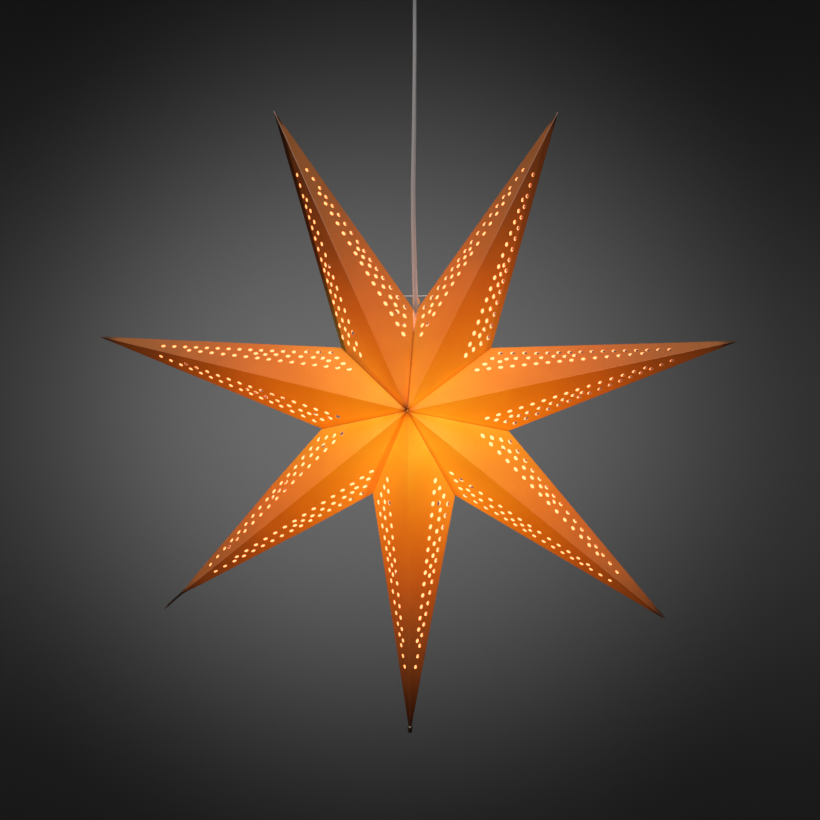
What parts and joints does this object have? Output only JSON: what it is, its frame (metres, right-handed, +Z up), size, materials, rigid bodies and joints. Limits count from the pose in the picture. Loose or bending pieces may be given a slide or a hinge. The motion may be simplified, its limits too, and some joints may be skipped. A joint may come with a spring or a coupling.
{
  "type": "folding paper star lamp",
  "caption": "Lit seven-spike folding paper star with punched spikes, a small lampholder and bulb inside, hung on a flat cord from a ceiling cup.",
  "frame": {"origin": "centre of the ceiling strap's top face, where the star is fixed to the ceiling", "axes": "+Z up along the cord, -Y towards the pictured front of the star, +X to the right seen from the front"},
  "size_m": [0.6217, 0.1484, 0.7748],
  "materials": {
    "orange_paper": "translucent orange paper, matt, warm where the lamp shines through",
    "brown_paper": "doubled paper, dark, matt",
    "white_plastic": "white moulded plastic, satin",
    "cord_plastic": "off-white flexible PVC cord, satin",
    "amber_plastic": "translucent amber plastic",
    "frosted_glass": "frosted glass, lit from inside",
    "clear_glass": "clear glass",
    "black_glass": "black insulating glass",
    "brass": "plain brass, thin sheet",
    "steel": "zinc-coated steel",
    "tungsten": "dark drawn wire"
  },
  "bodies": {
    "ceiling_fixing": {"ceiling_strap": "steel", "terminal_block": "white_plastic", "terminal_screw_1": "brass", "terminal_screw_2": "brass"},
    "cup": {"ceiling_cup": "white_plastic", "cup_cord_bush": "white_plastic"},
    "hung_lamp": {"flat_cord": "cord_plastic", "cord_clip": "amber_plastic", "hanging_wire": "steel", "lampholder_skirt": "white_plastic", "lampholder_cap": "white_plastic", "lampholder_insert": "white_plastic", "threaded_socket_sleeve": "brass", "centre_contact": "brass", "side_contact": "brass", "lampholder_cord_bush": "white_plastic", "upper_left_spike_back_face_1": "orange_paper"},
    "bulb": {"bulb_glass": "frosted_glass", "bulb_screw_shell": "brass", "bulb_insulator": "black_glass", "bulb_tip_contact": "steel", "bulb_stem": "clear_glass", "bulb_filament_and_leads": "tungsten"},
    "upper_left_back_face_2": {"upper_left_spike_back_face_2": "orange_paper"},
    "left_back_face_1": {"left_spike_back_face_1": "orange_paper"},
    "left_back_face_2": {"left_spike_back_face_2": "orange_paper"},
    "lower_left_back_face_1": {"lower_left_spike_back_face_1": "orange_paper"},
    "lower_left_back_face_2": {"lower_left_spike_back_face_2": "orange_paper"},
    "bottom_back_face_1": {"bottom_spike_back_face_1": "orange_paper"},
    "bottom_back_face_2": {"bottom_spike_back_face_2": "orange_paper"},
    "lower_right_back_face_1": {"lower_right_spike_back_face_1": "orange_paper"},
    "lower_right_back_face_2": {"lower_right_spike_back_face_2": "orange_paper"},
    "right_back_face_1": {"right_spike_back_face_1": "orange_paper"},
    "right_back_face_2": {"right_spike_back_face_2": "orange_paper"},
    "upper_right_back_face_1": {"upper_right_spike_back_face_1": "orange_paper"},
    "upper_right_back_face_2": {"upper_right_spike_back_face_2": "orange_paper"},
    "upper_left_front_face_1": {"upper_left_spike_front_face_1": "orange_paper"},
    "upper_left_front_face_2": {"upper_left_spike_front_face_2": "orange_paper"},
    "left_front_face_1": {"left_spike_front_face_1": "orange_paper"},
    "left_front_face_2": {"left_spike_front_face_2": "orange_paper"},
    "lower_left_front_face_1": {"lower_left_spike_front_face_1": "orange_paper"},
    "lower_left_front_face_2": {"lower_left_spike_front_face_2": "orange_paper"},
    "bottom_front_face_1": {"bottom_spike_front_face_1": "orange_paper", "bottom_tip_patch_1": "brown_paper"},
    "bottom_front_face_2": {"bottom_spike_front_face_2": "orange_paper", "bottom_tip_patch_2": "brown_paper"},
    "lower_right_front_face_1": {"lower_right_spike_front_face_1": "orange_paper"},
    "lower_right_front_face_2": {"lower_right_spike_front_face_2": "orange_paper"},
    "right_front_face_1": {"right_spike_front_face_1": "orange_paper"},
    "right_front_face_2": {"right_spike_front_face_2": "orange_paper"},
    "upper_right_front_face_1": {"upper_right_spike_front_face_1": "orange_paper"},
    "upper_right_front_face_2": {"upper_right_spike_front_face_2": "orange_paper"}
  },
  "joints": [
    {"name": "cup_slide", "type": "slide", "parent": "ceiling_fixing", "child": "cup", "axis": [0, 0, -1], "range_m": [0, 0.06]},
    {"name": "star_turn", "type": "hinge", "parent": "ceiling_fixing", "child": "hung_lamp", "pos_m": [0, 0, 0], "axis": [0, 0, 1], "range_deg": [-180, 180]},
    {"name": "bulb_unscrew", "type": "slide", "parent": "hung_lamp", "child": "bulb", "axis": [0, 0, -1], "range_m": [0, 0.022]},
    {"name": "upper_left_ridge_fold", "type": "hinge", "parent": "hung_lamp", "child": "upper_left_back_face_2", "pos_m": [0.00004, 0.0746, -0.45608], "axis": [-0.4157, -0.2268, 0.8808], "range_deg": [0, 68]},
    {"name": "upper_left_to_left_seam_fold", "type": "hinge", "parent": "upper_left_back_face_2", "child": "left_back_face_1", "pos_m": [-0.00016, 0.07526, -0.45587], "axis": [0.6098, 0.6196, -0.4942], "range_deg": [0, 89.09]},
    {"name": "left_ridge_fold", "type": "hinge", "parent": "left_back_face_1", "child": "left_back_face_2", "pos_m": [0.00009, 0.0746, -0.45602], "axis": [-0.9478, -0.2268, 0.2242], "range_deg": [0, 68.01]},
    {"name": "left_to_lower_left_seam_fold", "type": "hinge", "parent": "left_back_face_2", "child": "lower_left_back_face_1", "pos_m": [-0.0002, 0.07526, -0.45604], "axis": [0.7666, 0.6196, 0.1686], "range_deg": [0, 89.09]},
    {"name": "lower_left_ridge_fold", "type": "hinge", "parent": "lower_left_back_face_1", "child": "lower_left_back_face_2", "pos_m": [0.00007, 0.0746, -0.45594], "axis": [-0.7662, -0.2268, -0.6012], "range_deg": [0, 68.01]},
    {"name": "lower_left_to_bottom_seam_fold", "type": "hinge", "parent": "lower_left_back_face_2", "child": "bottom_back_face_1", "pos_m": [-0.00009, 0.07526, -0.45618], "axis": [0.3461, 0.6196, 0.7045], "range_deg": [0, 89.09]},
    {"name": "bottom_ridge_fold", "type": "hinge", "parent": "bottom_back_face_1", "child": "bottom_back_face_2", "pos_m": [0, 0.0746, -0.45591], "axis": [-0.0076, -0.2268, -0.9739], "range_deg": [0, 68.01]},
    {"name": "bottom_to_lower_right_seam_fold", "type": "hinge", "parent": "bottom_back_face_2", "child": "lower_right_back_face_1", "pos_m": [0.00009, 0.07526, -0.45619], "axis": [-0.335, 0.6196, 0.7098], "range_deg": [0, 89.09]},
    {"name": "lower_right_ridge_fold", "type": "hinge", "parent": "lower_right_back_face_1", "child": "lower_right_back_face_2", "pos_m": [-0.00007, 0.0746, -0.45594], "axis": [0.7567, -0.2268, -0.6132], "range_deg": [0, 68.01]},
    {"name": "lower_right_to_right_seam_fold", "type": "hinge", "parent": "lower_right_back_face_2", "child": "right_back_face_1", "pos_m": [0.0002, 0.07526, -0.45605], "axis": [-0.7638, 0.6196, 0.1807], "range_deg": [0, 89.09]},
    {"name": "right_ridge_fold", "type": "hinge", "parent": "right_back_face_1", "child": "right_back_face_2", "pos_m": [-0.00009, 0.0746, -0.45602], "axis": [0.9512, -0.2268, 0.2093], "range_deg": [0, 68.01]},
    {"name": "right_to_upper_right_seam_fold", "type": "hinge", "parent": "right_back_face_2", "child": "upper_right_back_face_1", "pos_m": [0.00016, 0.07526, -0.45587], "axis": [-0.6175, 0.6196, -0.4845], "range_deg": [0, 89.09]},
    {"name": "upper_right_ridge_fold", "type": "hinge", "parent": "upper_right_back_face_1", "child": "upper_right_back_face_2", "pos_m": [-0.00004, 0.0746, -0.45608], "axis": [0.4295, -0.2268, 0.8741], "range_deg": [0, 68.01]},
    {"name": "upper_left_spike_outline_fold_1", "type": "hinge", "parent": "hung_lamp", "child": "upper_left_front_face_1", "pos_m": [-0.13717, 0, -0.16462], "axis": [-0.5758, 0, 0.8176], "range_deg": [0, 66.65]},
    {"name": "upper_left_spike_outline_fold_2", "type": "hinge", "parent": "upper_left_back_face_2", "child": "upper_left_front_face_2", "pos_m": [-0.13773, 0, -0.16488], "axis": [0.2651, 0, -0.9642], "range_deg": [0, 66.65]},
    {"name": "left_spike_outline_fold_1", "type": "hinge", "parent": "left_back_face_1", "child": "left_front_face_1", "pos_m": [-0.31334, 0, -0.38157], "axis": [-0.9982, 0, 0.0596], "range_deg": [0, 66.65]},
    {"name": "left_spike_outline_fold_2", "type": "hinge", "parent": "left_back_face_2", "child": "left_front_face_2", "pos_m": [-0.31348, 0, -0.38217], "axis": [0.9192, 0, -0.3939], "range_deg": [0, 66.65]},
    {"name": "lower_left_spike_outline_fold_1", "type": "hinge", "parent": "lower_left_back_face_1", "child": "lower_left_front_face_1", "pos_m": [-0.25355, 0, -0.65457], "axis": [-0.669, 0, -0.7433], "range_deg": [0, 66.65]},
    {"name": "lower_left_spike_outline_fold_2", "type": "hinge", "parent": "lower_left_back_face_2", "child": "lower_left_front_face_2", "pos_m": [-0.25317, 0, -0.65505], "axis": [0.881, 0, 0.473], "range_deg": [0, 66.65]},
    {"name": "bottom_spike_outline_fold_1", "type": "hinge", "parent": "bottom_back_face_1", "child": "bottom_front_face_1", "pos_m": [-0.00284, 0, -0.77804], "axis": [0.164, 0, -0.9865], "range_deg": [0, 66.65]},
    {"name": "bottom_spike_outline_fold_2", "type": "hinge", "parent": "bottom_back_face_2", "child": "bottom_front_face_2", "pos_m": [-0.00222, 0, -0.77805], "axis": [0.1795, 0, 0.9838], "range_deg": [0, 66.65]},
    {"name": "lower_right_spike_outline_fold_1", "type": "hinge", "parent": "lower_right_back_face_1", "child": "lower_right_front_face_1", "pos_m": [0.25001, 0, -0.65901], "axis": [0.8735, 0, -0.4868], "range_deg": [0, 66.65]},
    {"name": "lower_right_spike_outline_fold_2", "type": "hinge", "parent": "lower_right_back_face_2", "child": "lower_right_front_face_2", "pos_m": [0.2504, 0, -0.65853], "axis": [-0.6572, 0, 0.7537], "range_deg": [0, 66.65]},
    {"name": "right_spike_outline_fold_1", "type": "hinge", "parent": "right_back_face_1", "child": "right_front_face_1", "pos_m": [0.3146, 0, -0.3871], "axis": [0.9252, 0, 0.3794], "range_deg": [0, 66.65]},
    {"name": "right_spike_outline_fold_2", "type": "hinge", "parent": "right_back_face_2", "child": "right_front_face_2", "pos_m": [0.31447, 0, -0.38651], "axis": [-0.999, 0, -0.0439], "range_deg": [0, 66.65]},
    {"name": "upper_right_spike_outline_fold_1", "type": "hinge", "parent": "upper_right_back_face_1", "child": "upper_right_front_face_1", "pos_m": [0.14228, 0, -0.16708], "axis": [0.2802, 0, 0.9599], "range_deg": [0, 66.65]},
    {"name": "upper_right_spike_outline_fold_2", "type": "hinge", "parent": "upper_right_back_face_2", "child": "upper_right_front_face_2", "pos_m": [0.14173, 0, -0.16681], "axis": [-0.5886, 0, -0.8085], "range_deg": [0, 66.65]}
  ],
  "couplings": [
    {"joint": "upper_left_to_left_seam_fold", "follows": "upper_left_ridge_fold", "ratio": 1.31},
    {"joint": "left_ridge_fold", "follows": "upper_left_ridge_fold", "ratio": 1},
    {"joint": "left_to_lower_left_seam_fold", "follows": "upper_left_ridge_fold", "ratio": 1.31},
    {"joint": "lower_left_ridge_fold", "follows": "upper_left_ridge_fold", "ratio": 1},
    {"joint": "lower_left_to_bottom_seam_fold", "follows": "upper_left_ridge_fold", "ratio": 1.31},
    {"joint": "bottom_ridge_fold", "follows": "upper_left_ridge_fold", "ratio": 1},
    {"joint": "bottom_to_lower_right_seam_fold", "follows": "upper_left_ridge_fold", "ratio": 1.31},
    {"joint": "lower_right_ridge_fold", "follows": "upper_left_ridge_fold", "ratio": 1},
    {"joint": "lower_right_to_right_seam_fold", "follows": "upper_left_ridge_fold", "ratio": 1.31},
    {"joint": "right_ridge_fold", "follows": "upper_left_ridge_fold", "ratio": 1},
    {"joint": "right_to_upper_right_seam_fold", "follows": "upper_left_ridge_fold", "ratio": 1.31},
    {"joint": "upper_right_ridge_fold", "follows": "upper_left_ridge_fold", "ratio": 1},
    {"joint": "upper_left_spike_outline_fold_1", "follows": "upper_left_ridge_fold", "ratio": 0.98},
    {"joint": "upper_left_spike_outline_fold_2", "follows": "upper_left_ridge_fold", "ratio": 0.98},
    {"joint": "left_spike_outline_fold_1", "follows": "upper_left_ridge_fold", "ratio": 0.98},
    {"joint": "left_spike_outline_fold_2", "follows": "upper_left_ridge_fold", "ratio": 0.98},
    {"joint": "lower_left_spike_outline_fold_1", "follows": "upper_left_ridge_fold", "ratio": 0.98},
    {"joint": "lower_left_spike_outline_fold_2", "follows": "upper_left_ridge_fold", "ratio": 0.98},
    {"joint": "bottom_spike_outline_fold_1", "follows": "upper_left_ridge_fold", "ratio": 0.98},
    {"joint": "bottom_spike_outline_fold_2", "follows": "upper_left_ridge_fold", "ratio": 0.98},
    {"joint": "lower_right_spike_outline_fold_1", "follows": "upper_left_ridge_fold", "ratio": 0.98},
    {"joint": "lower_right_spike_outline_fold_2", "follows": "upper_left_ridge_fold", "ratio": 0.98},
    {"joint": "right_spike_outline_fold_1", "follows": "upper_left_ridge_fold", "ratio": 0.98},
    {"joint": "right_spike_outline_fold_2", "follows": "upper_left_ridge_fold", "ratio": 0.98},
    {"joint": "upper_right_spike_outline_fold_1", "follows": "upper_left_ridge_fold", "ratio": 0.98},
    {"joint": "upper_right_spike_outline_fold_2", "follows": "upper_left_ridge_fold", "ratio": 0.98}
  ]
}
